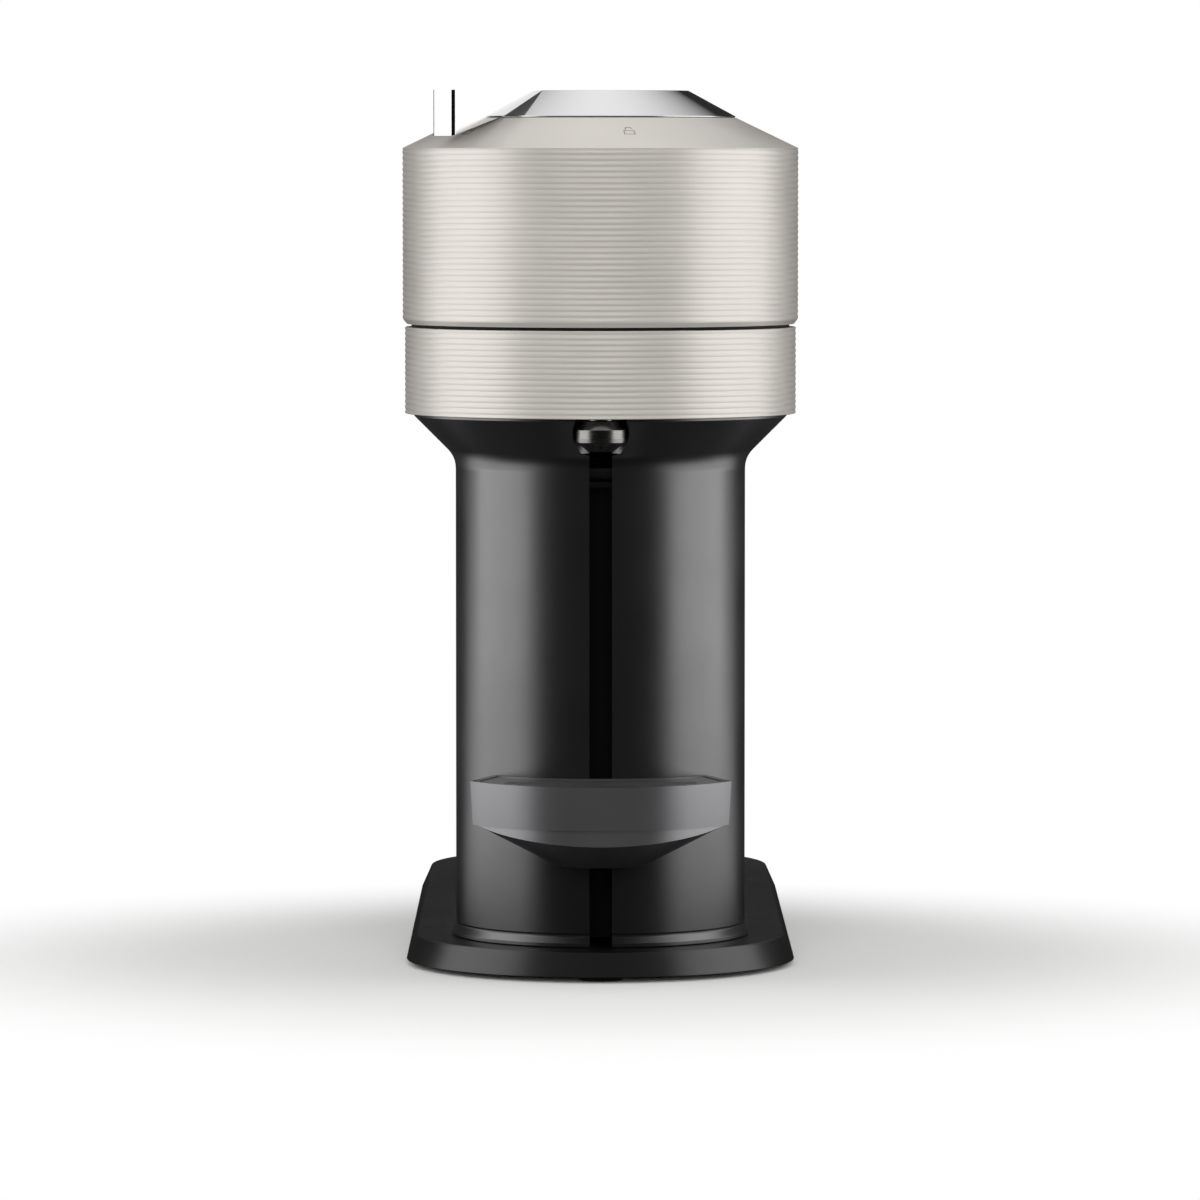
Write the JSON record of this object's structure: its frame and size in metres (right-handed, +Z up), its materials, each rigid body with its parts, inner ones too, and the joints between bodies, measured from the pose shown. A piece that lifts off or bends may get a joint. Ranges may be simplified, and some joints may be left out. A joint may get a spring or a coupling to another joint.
{
  "type": "pod coffee machine",
  "caption": "Round-headed pod coffee machine that spins its capsule: locking lever cap, opening head, sliding cup support, capsule container and lift-off water tank.",
  "frame": {"origin": "on the surface it stands on, under the middle of its footprint", "axes": "+X to the right of someone facing the machine, +Y from its front to its back, +Z up"},
  "size_m": [0.142, 0.429, 0.314],
  "materials": {
    "satin_black": "satin",
    "base_black": "matt",
    "warm_grey": "satin",
    "chrome": "polished",
    "dark_support": "satin",
    "spout_metal": "satin",
    "rubber": "matt",
    "smoke_clear": "clear smoked",
    "container_black": "matt",
    "steel": "satin",
    "heater_alloy": "cast",
    "electronics": "lacquered",
    "meter_white": "moulded",
    "silicone": "translucent",
    "light_diffuser": "frosted",
    "button_face": "satin"
  },
  "bodies": {
    "base": {"base_plate": "base_black", "bottom_cover": "base_black", "rubber_feet": "rubber", "cable_gland": "rubber", "column_shell": "satin_black", "groove_rail": "base_black", "motor_mount": "steel", "screws": "steel", "seals": "rubber", "motor_housing": "steel", "stator": "steel", "motor_bearings": "steel", "lower_band": "warm_grey", "chamber_deck": "base_black", "collector": "container_black", "spout": "spout_metal", "capsule_chute": "satin_black", "barcode_reader": "electronics", "body_shell": "satin_black", "bridge_cover": "satin_black", "hinge_bracket": "steel", "hinge_pins": "steel", "lift_spring": "steel", "pump": "steel", "flow_meter": "meter_white", "thermoblock": "heater_alloy", "control_board": "electronics", "hoses": "silicone", "tank_dock": "base_black", "tank_socket": "container_black"},
    "rotor": {"motor_rotor": "steel", "capsule_holder": "container_black"},
    "ejector": {"ejector_fork": "container_black"},
    "container": {"capsule_container": "container_black", "container_cover": "satin_black"},
    "head": {"head_shell": "warm_grey", "head_base": "base_black", "hinge_arms": "steel", "clamp_housing": "container_black", "clamp_bearing": "steel", "water_swivel": "container_black", "head_hose": "silicone", "button_housing": "container_black", "light_ring": "light_diffuser", "button_spring": "steel"},
    "clamp": {"clamp_plate": "container_black", "piercing_needle": "steel", "clamp_seal": "rubber"},
    "lever": {"lever_cap": "chrome", "lock_ring": "container_black"},
    "button": {"start_button": "button_face"},
    "support": {"cup_support": "dark_support", "groove_slider": "dark_support"},
    "tray": {"drip_tray": "dark_support"},
    "grid": {"drip_grid": "dark_support"},
    "tank": {"water_tank": "smoke_clear", "lid_pin": "steel", "valve_spring": "steel"},
    "lid": {"tank_lid": "base_black"},
    "valve": {"tank_valve": "container_black"}
  },
  "joints": [
    {"name": "head_open", "type": "hinge", "parent": "base", "child": "head", "pos_m": [0, -0.0435, 0.236], "axis": [-1, 0, 0], "range_deg": [0, 65], "deforming": ["lift_spring"]},
    {"name": "lever_turn", "type": "hinge", "parent": "head", "child": "lever", "pos_m": [0, -0.1235, 0.3048], "axis": [0, 0, 1], "range_deg": [0, 62]},
    {"name": "button_press", "type": "slide", "parent": "head", "child": "button", "axis": [0, 0, -1], "range_m": [0, 0.0015], "stiffness_N_per_m": 300, "deforming": ["button_spring"]},
    {"name": "holder_spin", "type": "hinge", "parent": "base", "child": "rotor", "pos_m": [0, -0.1235, 0.2258], "axis": [0, 0, 1], "continuous": true},
    {"name": "clamp_spin", "type": "hinge", "parent": "head", "child": "clamp", "pos_m": [0, -0.1235, 0.2272], "axis": [0, 0, 1], "continuous": true},
    {"name": "ejector_lift", "type": "hinge", "parent": "base", "child": "ejector", "pos_m": [0, -0.0755, 0.2281], "axis": [-1, 0, 0], "range_deg": [0, 32.5]},
    {"name": "container_lift", "type": "slide", "parent": "base", "child": "container", "axis": [0, 0, 1], "range_m": [0, 0.02]},
    {"name": "support_slide", "type": "slide", "parent": "base", "child": "support", "axis": [0, 0, 1], "range_m": [-0.024, 0.055]},
    {"name": "tray_lift", "type": "slide", "parent": "support", "child": "tray", "axis": [0, 0, 1], "range_m": [0, 0.015]},
    {"name": "grid_lift", "type": "slide", "parent": "tray", "child": "grid", "axis": [0, 0, 1], "range_m": [0, 0.012]},
    {"name": "tank_lift", "type": "slide", "parent": "base", "child": "tank", "axis": [0, 0, 1], "range_m": [0, 0.03]},
    {"name": "lid_hinge", "type": "hinge", "parent": "tank", "child": "lid", "pos_m": [0, 0.2, 0.1883], "axis": [-1, 0, 0], "range_deg": [0, 95]},
    {"name": "valve_close", "type": "slide", "parent": "tank", "child": "valve", "axis": [0, 0, 1], "range_m": [-0.003, 0], "deforming": ["valve_spring"]}
  ],
  "couplings": [
    {"joint": "clamp_spin", "follows": "holder_spin", "ratio": 1},
    {"joint": "ejector_lift", "follows": "head_open", "ratio": 0.5},
    {"joint": "valve_close", "follows": "tank_lift", "ratio": -0.1}
  ]
}
